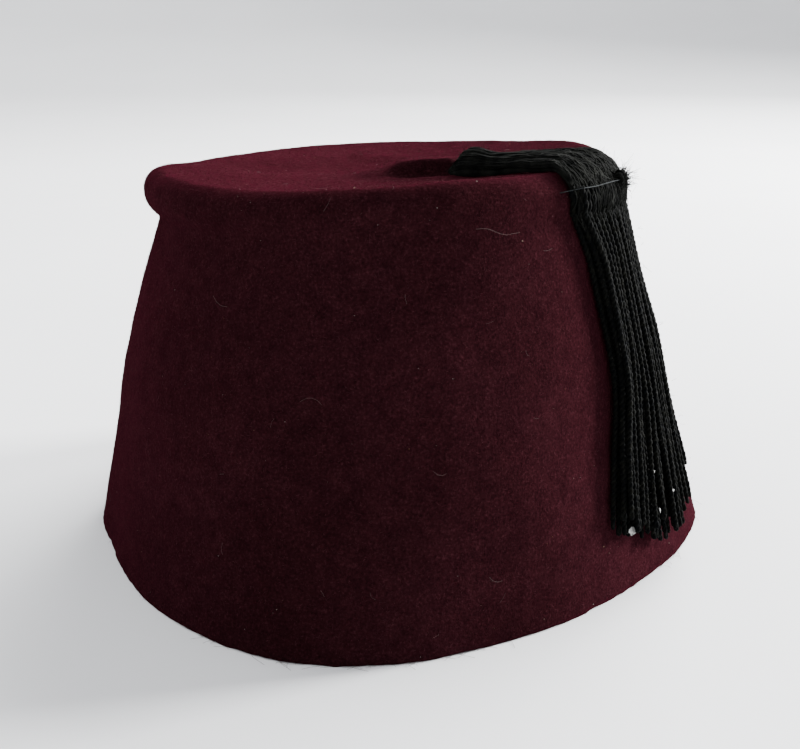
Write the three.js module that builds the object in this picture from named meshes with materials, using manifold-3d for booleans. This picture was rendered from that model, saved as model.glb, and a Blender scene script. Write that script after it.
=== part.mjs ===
// A fez: one piece of moulded wool felt, open below, with a sunken tip and a soft rolled edge round
// it, and a black silk tassel that lies across the tip and hangs down beside the right cheek.
// Millimetres, +Z up. The cut edge stands on z = 0 and the front of the hat faces -Y. Azimuths are
// in degrees round the hat, from 0 at +X through 90 at the back to 270 at the front.

import * as THREE from "three";
import Module from "manifold-3d";

// The felt crown
const BASE_DIAMETER = 185; // across the cut edge, outside
const TIP_DIAMETER = 134; // across the rolled edge, outside
const CROWN_HEIGHT = 107; // from the cut edge to the top of the rolled edge
const FELT_THICKNESS = 2.4;
const ROLL_RADIUS = 6.1; // of the soft edge round the tip
const WALL_BULGE = 2.2; // how far the side stands out of a straight cone
const TIP_SAG = 3.6; // how far the middle of the tip has sunk
const DISH_POWER = 1.8; // 1 for a tip that sinks in a cone, more for a flatter middle
const LEAN = 5.5; // the tip sits this far to the left of the base
const FOLD_HEIGHT = 4.3; // of the step where the tip has buckled

// The silk tassel
const TASSEL_AZIMUTH = 329; // where the binding crosses the roll
const BINDING_ANGLE = 18; // how far round the roll the binding lies, in degrees above its middle
const FLOSS_THICKNESS = 6.5; // of the loose floss where it lies on the tip
const FLOSS_START = 0.38; // where the floss begins, as a share of the way from tip middle to roll
const SKIRT_LENGTH = 95; // from the binding to the longest ends, along the felt
const LOCK_COUNT = 17;
const LOCK_THICKNESS = 3.6; // of each lock of twisted strands
const LOCK_SEAT = 0.8; // how far above the tassel's underside the locks begin
const BACKING_THICKNESS = 2.4; // of the strands behind, which the locks are fused to
const SEAT_GAP = 0.6; // between the tassel and the felt
const BINDING_GAP = 0.5; // between floss and skirt, where a thread is stitched across

// How fine the felt is divided
const ROUND_STEPS = 60;
const WALL_STEPS = 6;
const ROLL_STEPS = 6;
const TIP_STEPS = 16;
const TIP_SPREAD = 0.85; // the rows of the tip stand closer near the roll

const FELT_COLOUR = 0x5a1a26;
const SILK_COLOUR = 0x151618;

const BASE_RADIUS = BASE_DIAMETER / 2;
const TIP_RADIUS = TIP_DIAMETER / 2;
const SMALL = 1e-4;

// The hat out of round. edge is the cut edge as a share of BASE_RADIUS: it has a soft corner at
// each side, from lying flat. roll is the rolled edge as a share of TIP_RADIUS, crest its top as a
// share of CROWN_HEIGHT, overhang how far it stands out over the side as a share of ROLL_RADIUS,
// and bulge how far the side stands out of a straight cone as a share of WALL_BULGE.
const OUTLINE = [
  { azimuth: 0, edge: 1, roll: 0.988, crest: 1.014, overhang: 0.12, bulge: -0.5 },
  { azimuth: 20, edge: 0.965, roll: 1.004, crest: 1.022, overhang: 0.2, bulge: 0.3 },
  { azimuth: 45, edge: 0.965, roll: 1.005, crest: 1.017, overhang: 0.3, bulge: 0.8 },
  { azimuth: 70, edge: 0.985, roll: 1, crest: 1.003, overhang: 0.38, bulge: 1 },
  { azimuth: 90, edge: 0.985, roll: 1, crest: 0.997, overhang: 0.4, bulge: 1 },
  { azimuth: 115, edge: 0.98, roll: 1, crest: 0.987, overhang: 0.44, bulge: 1 },
  { azimuth: 140, edge: 0.965, roll: 1, crest: 0.978, overhang: 0.52, bulge: 1 },
  { azimuth: 160, edge: 0.965, roll: 1, crest: 0.976, overhang: 0.62, bulge: 1 },
  { azimuth: 180, edge: 1, roll: 1.006, crest: 0.99, overhang: 0.72, bulge: 1.1 },
  { azimuth: 200, edge: 0.95, roll: 0.982, crest: 0.988, overhang: 0.76, bulge: 1.1 },
  { azimuth: 225, edge: 0.962, roll: 0.95, crest: 0.986, overhang: 0.45, bulge: 1 },
  { azimuth: 250, edge: 0.99, roll: 0.98, crest: 0.996, overhang: 0.28, bulge: 0.9 },
  { azimuth: 270, edge: 0.955, roll: 1, crest: 1.01, overhang: 0.22, bulge: 0.8 },
  { azimuth: 290, edge: 0.892, roll: 1, crest: 1.021, overhang: 0.16, bulge: 0.6 },
  { azimuth: 320, edge: 0.875, roll: 0.98, crest: 1.018, overhang: 0.14, bulge: -0.2 },
  { azimuth: 340, edge: 0.93, roll: 0.966, crest: 1.012, overhang: 0.1, bulge: -0.9 },
];

// Folds of the tip, each along a straight line with a near side towards the front and a far side
// towards the back. Places and widths are shares of TIP_RADIUS from the middle of the tip, and
// rise is a share of FOLD_HEIGHT, negative where the felt is pressed down.
const TIP_FOLDS = [
  { fromX: 0.11, fromY: -0.1, toX: 0.2, toY: -0.1, rise: 1.0, near: 0.085, far: 0.5 },
  { fromX: 0.0, fromY: -0.2, toX: 0.45, toY: -0.24, rise: -0.16, near: 0.2, far: 0.1 },
  { fromX: -0.45, fromY: 0.15, toX: -0.15, toY: 0.25, rise: -0.25, near: 0.35, far: 0.35 },
];

// The floss, from its looped head on the tip to the binding on the roll. place runs from 0 at the
// head to 1 at the roll's crest and 2 at the binding; azimuth is its middle, half its half width
// as a share of TIP_RADIUS, and thick its thickness as a share of FLOSS_THICKNESS.
const FLOSS = [
  { place: 0.0, azimuth: 344.0, half: 0.035, thick: 0.4 },
  { place: 0.06, azimuth: 341.4, half: 0.065, thick: 0.85 },
  { place: 0.15, azimuth: 338.9, half: 0.072, thick: 0.95 },
  { place: 0.35, azimuth: 334.7, half: 0.078, thick: 0.78 },
  { place: 0.65, azimuth: 330.7, half: 0.113, thick: 0.72 },
  { place: 0.85, azimuth: 329.0, half: 0.16, thick: 0.66 },
  { place: 1.00, azimuth: 328.0, half: 0.195, thick: 0.58 },
  { place: 1.50, azimuth: 328.8, half: 0.24, thick: 0.5 },
  { place: 2.00, azimuth: 331.0, half: 0.285, thick: 0.45 },
];
const FLOSS_ROPES = 3; // soft ropes to each side of its middle, which the floss gathers into
const ROPE_DEPTH = 0.2; // how deep the clefts between them are, as a share of its thickness
const FLOSS_SIDES = 22;
const FLOSS_STATIONS = 22;

// The skirt. down runs from 0 at the binding to 1 at the ends of the longest strands; azimuth is
// its middle, half its half width as a share of TIP_RADIUS, and thick the locks' thickness as a
// share of LOCK_THICKNESS.
const SKIRT = [
  { down: 0.0, azimuth: 331.8, half: 0.313, thick: 0.75 },
  { down: 0.2, azimuth: 335.2, half: 0.285, thick: 1.42 },
  { down: 0.5, azimuth: 336.4, half: 0.295, thick: 1.25 },
  { down: 0.75, azimuth: 333.6, half: 0.318, thick: 0.95 },
  { down: 1.0, azimuth: 331.2, half: 0.368, thick: 0.85 },
];
const SKIRT_STATIONS = 12;
const STATION_SPREAD = 1.8; // stations stand closer near the roll, where the strands bend most
// Where the locks end, as shares of SKIRT_LENGTH: place is their place between -1, the front of
// the tassel, and 1.
const LOCK_ENDS = [
  { place: -1.0, end: 0.89 },
  { place: -0.6, end: 0.93 },
  { place: -0.2, end: 0.978 },
  { place: 0.2, end: 0.99 },
  { place: 0.6, end: 0.945 },
  { place: 1.0, end: 0.925 },
];
const RAGGED_ENDS = [0.006, -0.012, 0.012, -0.004, 0.015, -0.01, 0.002]; // added to them in turn
const LOCK_SIDES = 6;
const EDGE_THINNING = 0.2; // of the locks towards the back, where fewer strands lie
const LOCK_OVERLAP = 1.25; // width of a lock as a share of its spacing
const LOCK_TUCK = 0.55; // how far a strip narrows at its ends, as a share of its section
const BACKING_END = 0.88; // share of SKIRT_LENGTH
const BACKING_SIDES = 16;
const BACKING_SQUARENESS = 0.3; // of its section, from 1 for an ellipse down to 0 for a box

const degrees = THREE.MathUtils.degToRad;

// One column of a table whose rows go round the hat, as a smooth curve through the rows.
function around(table, column, azimuth) {
  const angle = THREE.MathUtils.euclideanModulo(azimuth, 360);
  const count = table.length;
  let i = table.findLastIndex((row) => row.azimuth <= angle + SMALL);
  if (i < 0) i = count - 1;
  const row = (k) => table[THREE.MathUtils.euclideanModulo(i + k, count)];
  const span = THREE.MathUtils.euclideanModulo(row(1).azimuth - row(0).azimuth, 360) || 360;
  const t = THREE.MathUtils.euclideanModulo(angle - row(0).azimuth, 360) / span;
  return smoothCurve(t, row(-1)[column], row(0)[column], row(1)[column], row(2)[column]);
}

// One column of a table whose rows follow each other along a named measure.
function along(table, measure, column, value) {
  const last = table.length - 1;
  let i = table.findLastIndex((row) => row[measure] <= value);
  i = THREE.MathUtils.clamp(i, 0, last - 1);
  const row = (k) => table[THREE.MathUtils.clamp(i + k, 0, last)];
  const t = (value - row(0)[measure]) / (row(1)[measure] - row(0)[measure]);
  return smoothCurve(t, row(-1)[column], row(0)[column], row(1)[column], row(2)[column]);
}

// A cubic from b at t = 0 to c at t = 1, with slopes taken from the neighbours a and d.
function smoothCurve(t, a, b, c, d) {
  const slopeB = (c - a) / 2;
  const slopeC = (d - b) / 2;
  const t2 = t * t;
  const t3 = t2 * t;
  return (2 * t3 - 3 * t2 + 1) * b + (t3 - 2 * t2 + t) * slopeB + (3 * t2 - 2 * t3) * c + (t3 - t2) * slopeC;
}

// A smooth bump across a fold: 1 on its line, 0 one width away.
function bump(distance, width) {
  const t = Math.min(Math.abs(distance) / width, 1);
  return (1 - t * t) ** 2;
}

// How far the folds lift the tip at a place measured from its middle.
function foldHeight(x, y) {
  let height = 0;
  for (const row of TIP_FOLDS) {
    const from = new THREE.Vector2(row.fromX, row.fromY).multiplyScalar(TIP_RADIUS);
    const line = new THREE.Vector2(row.toX, row.toY).multiplyScalar(TIP_RADIUS).sub(from);
    const place = new THREE.Vector2(x, y).sub(from);
    const share = THREE.MathUtils.clamp(place.dot(line) / line.lengthSq(), 0, 1);
    const off = place.sub(line.multiplyScalar(share));
    const toBack = (1 + off.y / (off.length() + SMALL)) / 2;
    const width = TIP_RADIUS * THREE.MathUtils.lerp(row.near, row.far, toBack ** 3);
    height += FOLD_HEIGHT * row.rise * bump(off.length(), width);
  }
  return height;
}

// Distance of the roll's crest, its highest line, from the middle of the tip.
function crestRadius(azimuth) {
  return TIP_RADIUS * around(OUTLINE, "roll", azimuth) - ROLL_RADIUS;
}

// Height of the felt's outside on the tip, at a distance from its middle. The folds fade out on
// the roll.
function tipHeight(distance, azimuth) {
  const crest = CROWN_HEIGHT * around(OUTLINE, "crest", azimuth);
  const middle = CROWN_HEIGHT - TIP_SAG;
  const rise = (crest - middle) * (distance / crestRadius(azimuth)) ** DISH_POWER;
  const x = distance * Math.cos(degrees(azimuth));
  const y = distance * Math.sin(degrees(azimuth));
  const inside = THREE.MathUtils.smoothstep(crestRadius(azimuth) - distance, 0, ROLL_RADIUS);
  return middle + rise + foldHeight(x, y) * inside;
}

// The roll's cross-section at an azimuth: the place of its centre and the angle below level at
// which it meets the side.
function rollAt(azimuth) {
  const centre = CROWN_HEIGHT * around(OUTLINE, "crest", azimuth) - ROLL_RADIUS;
  const start = Math.acos(1 - around(OUTLINE, "overhang", azimuth));
  return { distance: crestRadius(azimuth), centre, start };
}

// A point of the felt's outside as [radius, height]. section runs from 0 at the cut edge to 1 at
// the neck under the roll, to 2 at the roll's crest and to 3 in the middle of the tip.
function outside(section, azimuth) {
  const roll = rollAt(azimuth);
  if (section <= 1) {
    const neckRadius = roll.distance + ROLL_RADIUS * Math.cos(roll.start);
    const neckHeight = roll.centre - ROLL_RADIUS * Math.sin(roll.start);
    const edge = BASE_RADIUS * around(OUTLINE, "edge", azimuth);
    const bulge = WALL_BULGE * around(OUTLINE, "bulge", azimuth) * Math.sin(Math.PI * section ** 1.5);
    return [THREE.MathUtils.lerp(edge, neckRadius, section) + bulge, neckHeight * section];
  }
  if (section <= 2) {
    const angle = THREE.MathUtils.lerp(-roll.start, Math.PI / 2, section - 1);
    return [roll.distance + ROLL_RADIUS * Math.cos(angle), roll.centre + ROLL_RADIUS * Math.sin(angle)];
  }
  const distance = roll.distance * (3 - section);
  return [distance, tipHeight(distance, azimuth)];
}

// The outward normal of the felt's outside, as [radial, upward], from points just either side.
function normalAt(section, azimuth) {
  const [r0, z0] = outside(Math.max(section - 0.01, 0), azimuth);
  const [r1, z1] = outside(section + 0.01, azimuth);
  const length = Math.hypot(r1 - r0, z1 - z0);
  return [(z1 - z0) / length, (r0 - r1) / length];
}

// A point at a height above the felt's outside, or under it where lift is negative, in the hat's
// own frame. The tip leans to the left, and the lean grows evenly from the cut edge up.
function feltPoint(section, azimuth, lift) {
  let [radius, height] = outside(section, azimuth);
  if (section >= 2) {
    height += lift;
  } else {
    const [out, up] = normalAt(Math.min(section, 2 - 0.01), azimuth);
    radius += lift * (section === 0 ? 1 : out);
    height += lift * (section === 0 ? 0 : up);
  }
  return new THREE.Vector3(
    radius * Math.cos(degrees(azimuth)) - (LEAN * height) / CROWN_HEIGHT,
    radius * Math.sin(degrees(azimuth)),
    height,
  );
}

// The section rows of the felt, from the middle of the tip out and down to the cut edge.
function feltSections() {
  const rows = [];
  for (let k = 0; k < TIP_STEPS; k++) rows.push(3 - (k / TIP_STEPS) ** TIP_SPREAD);
  for (let k = 0; k < ROLL_STEPS; k++) rows.push(2 - k / ROLL_STEPS);
  for (let k = 0; k <= WALL_STEPS; k++) rows.push(1 - k / WALL_STEPS);
  return rows;
}

// The crown: a lathe body with the felt's sections outside and, back up, inside. Each of its
// vertices then goes to the felt's real, out-of-round place.
function crownGeometry() {
  const sections = feltSections();
  const rows = [
    ...sections.map((section) => ({ section, lift: 0 })),
    ...sections.toReversed().map((section) => ({ section, lift: -FELT_THICKNESS })),
  ];
  const profile = rows.map(({ section, lift }) => {
    const [radius, height] = outside(section, 0);
    return new THREE.Vector2(Math.max(radius + (section < 3 ? lift : 0), 0), height);
  });
  const geometry = new THREE.LatheGeometry(profile.toReversed(), ROUND_STEPS);
  const places = geometry.getAttribute("position");
  const count = rows.length;
  for (let i = 0; i <= ROUND_STEPS; i++) {
    const azimuth = (360 * i) / ROUND_STEPS;
    for (let j = 0; j < count; j++) {
      const { section, lift } = rows[count - 1 - j];
      const place = feltPoint(section, azimuth, lift);
      places.setXYZ(i * count + j, place.x, place.y, place.z);
    }
  }
  return geometry;
}

// The triangles that close a ring of points, zigzag between the two halves of the ring, so that a
// wide ring may be bent round the hat.
function closeRing(sides) {
  const triangles = [];
  let first = 0;
  let last = sides - 1;
  while (last - first > 1) {
    triangles.push([first, first + 1, last]);
    first += 1;
    if (last - first > 1) triangles.push([first, last - 1, last]);
    last -= 1;
  }
  return triangles;
}

// A closed body through a list of rings, each an array of as many points.
function loft(rings) {
  const sides = rings[0].length;
  const end = (rings.length - 1) * sides;
  const triangles = [];
  for (let k = 0; k < sides; k++) {
    const next = (k + 1) % sides;
    for (let i = 0; i < end; i += sides) {
      triangles.push(i + k, i + next, i + sides + next, i + k, i + sides + next, i + sides + k);
    }
  }
  for (const [a, b, c] of closeRing(sides)) {
    triangles.push(c, b, a, end + a, end + b, end + c);
  }
  const geometry = new THREE.BufferGeometry().setFromPoints(rings.flat());
  geometry.setIndex(triangles);
  return geometry;
}

// The felt section of the binding: on the outside of the roll, above its middle.
function bindingSection() {
  const { start } = rollAt(TASSEL_AZIMUTH);
  const sweep = Math.PI / 2 + start;
  return 2 - degrees(90 - BINDING_ANGLE) / sweep;
}

// The felt section at a distance down the side from the binding, measured along the felt.
function sectionBelow(distance) {
  const step = 0.01;
  let section = bindingSection();
  let [radius, height] = outside(section, TASSEL_AZIMUTH);
  let gone = 0;
  while (gone < distance && section > step) {
    const [r, z] = outside(section - step, TASSEL_AZIMUTH);
    gone += Math.hypot(r - radius, z - height);
    [radius, height] = [r, z];
    section -= step;
  }
  return section;
}

// A ring of points round a strip that lies on the felt. Each point of the outline is a distance
// across from the strip's middle, towards the back, and a height above the felt.
function stripRing(section, azimuth, outline) {
  const [radius] = outside(section, azimuth);
  return outline.map(([across, lift]) => {
    const turn = THREE.MathUtils.radToDeg(across / radius);
    return feltPoint(section, azimuth + turn, SEAT_GAP + lift);
  });
}

// The floss: a flat body that gathers into a few soft ropes and spreads as it comes over the roll.
function flossGeometry() {
  const rings = [];
  for (let i = 0; i <= FLOSS_STATIONS; i++) {
    const place = (2 * i) / FLOSS_STATIONS;
    const onTip = THREE.MathUtils.lerp(3 - FLOSS_START, 2, place);
    const onRoll = THREE.MathUtils.lerp(2, bindingSection(), place - 1);
    const half = TIP_RADIUS * along(FLOSS, "place", "half", place);
    const thick = FLOSS_THICKNESS * along(FLOSS, "place", "thick", place);
    const outline = [];
    for (let k = 0; k < FLOSS_SIDES; k++) {
      const turn = (2 * Math.PI * k) / FLOSS_SIDES;
      const across = Math.cos(turn);
      const height = Math.max(Math.sin(turn), 0) ** 0.6;
      const rope = 1 - ROPE_DEPTH * Math.sin(Math.PI * FLOSS_ROPES * across) ** 2;
      outline.push([half * across, thick * height * rope]);
    }
    const azimuth = along(FLOSS, "place", "azimuth", place);
    rings.push(stripRing(place < 1 ? onTip : onRoll, azimuth, outline));
  }
  return loft(rings);
}

// A strip of the skirt from the binding down to a share of its length. Its section reaches from
// one height above the felt to another, and its middle lies at a place between -1, the front of
// the tassel, and 1. A tuck below 1 draws its two ends in.
function skirtStrip({ place, width, end, low, high, sides, tuck, squareness }) {
  const rings = [];
  for (let i = 0; i <= SKIRT_STATIONS; i++) {
    const down = end * (i / SKIRT_STATIONS) ** STATION_SPREAD;
    const section = sectionBelow(BINDING_GAP + SKIRT_LENGTH * down);
    const half = TIP_RADIUS * along(SKIRT, "down", "half", down);
    const size = i === 0 || i === SKIRT_STATIONS ? tuck : 1;
    const top = low + (high - low) * along(SKIRT, "down", "thick", down);
    const outline = [];
    for (let k = 0; k < sides; k++) {
      const turn = (2 * Math.PI * (k + 0.5)) / sides;
      const above = Math.sign(Math.sin(turn)) * Math.abs(Math.sin(turn)) ** squareness;
      const lift = (top + low) / 2 + ((top - low) / 2) * size * above;
      outline.push([half * (place + width * size * Math.cos(turn)), lift]);
    }
    rings.push(stripRing(section, along(SKIRT, "down", "azimuth", down), outline));
  }
  return loft(rings);
}

// The skirt: the locks side by side, fused to a backing under them.
async function skirtGeometry() {
  const wasm = await Module();
  wasm.setup();
  const solid = (geometry) => {
    const mesh = new wasm.Mesh({
      numProp: 3,
      vertProperties: new Float32Array(geometry.getAttribute("position").array),
      triVerts: new Uint32Array(geometry.index.array),
    });
    return new wasm.Manifold(mesh);
  };
  const lockWidth = LOCK_OVERLAP / LOCK_COUNT;
  let skirt = solid(
    skirtStrip({
      place: 0,
      width: 1 - lockWidth,
      end: BACKING_END,
      low: 0,
      high: BACKING_THICKNESS,
      sides: BACKING_SIDES,
      tuck: 1,
      squareness: BACKING_SQUARENESS,
    }),
  );
  for (let k = 0; k < LOCK_COUNT; k++) {
    const place = (2 * k + 1) / LOCK_COUNT - 1;
    const lock = skirtStrip({
      place,
      width: lockWidth,
      end: along(LOCK_ENDS, "place", "end", place) + RAGGED_ENDS[k % RAGGED_ENDS.length],
      low: LOCK_SEAT,
      high: LOCK_SEAT + LOCK_THICKNESS * (1 - EDGE_THINNING * Math.max(place, 0) ** 2),
      sides: LOCK_SIDES,
      tuck: LOCK_TUCK,
      squareness: 1,
    });
    skirt = skirt.add(solid(lock));
  }
  const { vertProperties, triVerts } = skirt.getMesh();
  const geometry = new THREE.BufferGeometry();
  geometry.setAttribute("position", new THREE.BufferAttribute(vertProperties, 3));
  geometry.setIndex(new THREE.BufferAttribute(triVerts, 1));
  return geometry;
}

// A named piece of the hat.
function piece(name, geometry, color, roughness) {
  geometry.computeVertexNormals();
  const material = new THREE.MeshStandardMaterial({ color, roughness, metalness: 0 });
  const mesh = new THREE.Mesh(geometry, material);
  mesh.name = name;
  return mesh;
}

const hat = new THREE.Group();
hat.name = "fez";
hat.add(
  piece("crown", crownGeometry(), FELT_COLOUR, 0.95),
  piece("tassel_head", flossGeometry(), SILK_COLOUR, 0.6),
  piece("tassel_skirt", await skirtGeometry(), SILK_COLOUR, 0.6),
);

// The middle of the hat's foot is the origin.
const extent = new THREE.Box3().setFromObject(hat, true);
const middle = extent.getCenter(new THREE.Vector3());
for (const mesh of hat.children) {
  mesh.geometry.translate(-middle.x, -middle.y, -extent.min.z);
}

export default hat;
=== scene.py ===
import math

import bpy
import numpy as np
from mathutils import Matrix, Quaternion, Vector, noise
from mathutils.bvhtree import BVHTree


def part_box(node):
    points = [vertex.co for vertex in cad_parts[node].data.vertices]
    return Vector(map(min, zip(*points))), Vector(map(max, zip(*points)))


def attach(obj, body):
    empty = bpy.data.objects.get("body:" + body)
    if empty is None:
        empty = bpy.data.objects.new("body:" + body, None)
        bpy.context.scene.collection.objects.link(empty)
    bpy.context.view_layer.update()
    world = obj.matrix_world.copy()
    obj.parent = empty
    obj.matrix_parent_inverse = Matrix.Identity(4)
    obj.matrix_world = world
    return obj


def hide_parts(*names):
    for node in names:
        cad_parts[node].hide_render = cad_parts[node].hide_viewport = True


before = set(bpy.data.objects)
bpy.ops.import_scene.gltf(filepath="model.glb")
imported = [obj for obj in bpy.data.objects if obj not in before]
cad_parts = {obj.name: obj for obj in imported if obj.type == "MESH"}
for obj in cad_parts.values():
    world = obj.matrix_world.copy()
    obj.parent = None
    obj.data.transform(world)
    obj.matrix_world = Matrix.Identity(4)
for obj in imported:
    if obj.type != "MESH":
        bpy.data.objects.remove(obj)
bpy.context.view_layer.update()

# The camera stands half an arm's length in front of the hat and a little above its tip, and looks
# down on it, so that the sunken tip shows as a thin ellipse.
camera_data = bpy.data.cameras.new("camera")
camera_data.sensor_width = 36.0
camera_data.lens = 47.25
camera = bpy.data.objects.new("camera", camera_data)
camera.location = (0.0, -0.3033, 0.1415)
camera.rotation_euler = (math.radians(72.0), 0.0, 0.0)
bpy.context.scene.collection.objects.link(camera)
bpy.context.scene.camera = camera

# The table: a plain pale sheet of paper that runs far out and curves up all round, with no edge
# or corner in view. It isn't part of the hat. PAPER_RINGS holds the radius and height of its rings.
PAPER_STEPS = 72
PAPER_RINGS = [
    (0.0, 0.0), (0.35, 0.0), (0.8, 0.0), (1.3, 0.0), (1.9, 0.03), (2.4, 0.16), (2.8, 0.42), (3.0, 0.8),
]


def shade(mesh_object, smooth=True):
    """Give a piece soft or crisp facets."""
    values = np.full(len(mesh_object.data.polygons), smooth)
    mesh_object.data.polygons.foreach_set("use_smooth", values)


def make_piece(name, points, faces):
    """Turn points and faces into a piece of the scene. Faces are rows of three or four points."""
    mesh = bpy.data.meshes.new(name)
    points = np.asarray(points, dtype=np.float32).reshape(-1, 3)
    faces = [np.asarray(block, dtype=np.int32) for block in faces]
    sizes = np.concatenate([np.full(len(block), block.shape[1], dtype=np.int32) for block in faces])
    corners = np.concatenate([block.ravel() for block in faces])
    mesh.vertices.add(len(points))
    mesh.vertices.foreach_set("co", points.ravel())
    mesh.loops.add(len(corners))
    mesh.loops.foreach_set("vertex_index", corners)
    mesh.polygons.add(len(sizes))
    starts = np.concatenate([[0], np.cumsum(sizes)[:-1]]).astype(np.int32)
    mesh.polygons.foreach_set("loop_start", starts)
    mesh.update(calc_edges=True)
    mesh.validate()
    piece = bpy.data.objects.new(name, mesh)
    bpy.context.scene.collection.objects.link(piece)
    shade(piece)
    return piece


paper_turns = np.radians(np.arange(PAPER_STEPS) * 360 / PAPER_STEPS)
paper_points = [
    [r * np.cos(paper_turns), r * np.sin(paper_turns), np.full(PAPER_STEPS, z)]
    for r, z in PAPER_RINGS[1:]
]
paper_points = np.concatenate([[[0, 0, 0]], np.transpose(paper_points, (0, 2, 1)).reshape(-1, 3)])
near = np.arange(PAPER_STEPS)
following = (near + 1) % PAPER_STEPS
paper_faces = [np.stack([np.zeros(PAPER_STEPS, int), 1 + near, 1 + following], 1)]
for ring in range(len(PAPER_RINGS) - 2):
    inner = 1 + PAPER_STEPS * ring
    outer = inner + PAPER_STEPS
    paper_faces.append(np.stack([inner + near, outer + near, outer + following, inner + following], 1))
paper = make_piece("paper", paper_points, paper_faces)


def new_material(name, roughness, specular):
    """Start a material; its colour and surface are worked out by nodes that the caller adds."""
    material = bpy.data.materials.new(name)
    material.use_nodes = True
    shader = material.node_tree.nodes["Principled BSDF"]
    shader.inputs["Roughness"].default_value = roughness
    shader.inputs["Specular IOR Level"].default_value = specular
    return material, material.node_tree, shader


def add_noise(tree, scale, detail=3.0, roughness=0.55, stretch=(1, 1, 1)):
    """Grain at a scale of so many cells a metre, in the piece's own space."""
    place = tree.nodes.new("ShaderNodeTexCoord")
    mapping = tree.nodes.new("ShaderNodeMapping")
    mapping.inputs["Scale"].default_value = stretch
    grain = tree.nodes.new("ShaderNodeTexNoise")
    grain.inputs["Scale"].default_value = scale
    grain.inputs["Detail"].default_value = detail
    grain.inputs["Roughness"].default_value = roughness
    tree.links.new(place.outputs["Object"], mapping.inputs["Vector"])
    tree.links.new(mapping.outputs["Vector"], grain.inputs["Vector"])
    return grain.outputs["Fac"]


def add_ramp(tree, value, stops):
    """Colours along a value, as (place, colour) stops."""
    ramp = tree.nodes.new("ShaderNodeValToRGB")
    while len(ramp.color_ramp.elements) < len(stops):
        ramp.color_ramp.elements.new(0.5)
    for element, (place, colour) in zip(ramp.color_ramp.elements, stops):
        element.position = place
        element.color = (*colour, 1.0)
    tree.links.new(value, ramp.inputs["Fac"])
    return ramp.outputs["Color"]


def add_mix(tree, kind, amount, below, above):
    """Lay one colour over another; amount is a number or a socket."""
    mix = tree.nodes.new("ShaderNodeMix")
    mix.data_type = "RGBA"
    mix.blend_type = kind
    if isinstance(amount, (int, float)):
        mix.inputs["Factor"].default_value = amount
    else:
        tree.links.new(amount, mix.inputs["Factor"])
    tree.links.new(below, mix.inputs["A"])
    tree.links.new(above, mix.inputs["B"])
    return mix.outputs["Result"]


def add_bump(tree, shader, value, strength, distance, under=None):
    """Raise the surface by a value, over an earlier bump if there is one."""
    bump = tree.nodes.new("ShaderNodeBump")
    bump.inputs["Strength"].default_value = strength
    bump.inputs["Distance"].default_value = distance
    tree.links.new(value, bump.inputs["Height"])
    if under is not None:
        tree.links.new(under, bump.inputs["Normal"])
    tree.links.new(bump.outputs["Normal"], shader.inputs["Normal"])
    return bump.outputs["Normal"]


paper_material, tree, shader = new_material("matt_paper", 0.9, 0.1)
paper_tone = add_ramp(tree, add_noise(tree, 3.0), [
    (0.3, (0.72, 0.725, 0.735)),
    (0.7, (0.76, 0.765, 0.775)),
])
tree.links.new(paper_tone, shader.inputs["Base Color"])
add_bump(tree, shader, add_noise(tree, 900.0), 0.05, 0.0002)
paper.data.materials.append(paper_material)

# The light: a big soft window behind the hat and to its right, a weaker one at the back left,
# and the pale room all round.
ROOM_LIGHT = 1.35
AIM_HEIGHT = 0.06
WINDOWS = [
    {"name": "window_back_right", "place": (0.7, 1.05, 1.15), "size": 1.2, "power": 92.0},
    {"name": "window_back_left", "place": (-1.1, 0.6, 0.8), "size": 0.8, "power": 9.0},
    {"name": "room_right", "place": (1.38, 0.44, 0.42), "size": 0.35, "power": 112.0},
]
for window in WINDOWS:
    light_data = bpy.data.lights.new(window["name"], "AREA")
    light_data.shape = "SQUARE"
    light_data.size = window["size"]
    light_data.energy = window["power"]
    light = bpy.data.objects.new(window["name"], light_data)
    light.location = window["place"]
    aim = Vector(window["place"]) - Vector((0, 0, AIM_HEIGHT))
    light.rotation_euler = aim.to_track_quat("Z", "Y").to_euler()
    bpy.context.scene.collection.objects.link(light)
world = bpy.data.worlds.new("pale_room")
world.use_nodes = True
world.node_tree.nodes["Background"].inputs["Color"].default_value = (0.93, 0.94, 0.97, 1.0)
world.node_tree.nodes["Background"].inputs["Strength"].default_value = ROOM_LIGHT
bpy.context.scene.world = world

# The crown: one moulded hood of maroon wool felt, with no seam. Its side narrows upward to a soft
# rolled edge, inside which the tip has sunk and buckled in one place; the lower edge is cut raw.
BASE_RADIUS = 0.0925
TIP_RADIUS = 0.067
CROWN_HEIGHT = 0.107
FELT_THICKNESS = 0.0024
ROLL_RADIUS = 0.0061
WALL_BULGE = 0.0022
TIP_SAG = 0.0036
DISH_POWER = 1.8
LEAN = 0.0055
FOLD_HEIGHT = 0.0043

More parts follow.
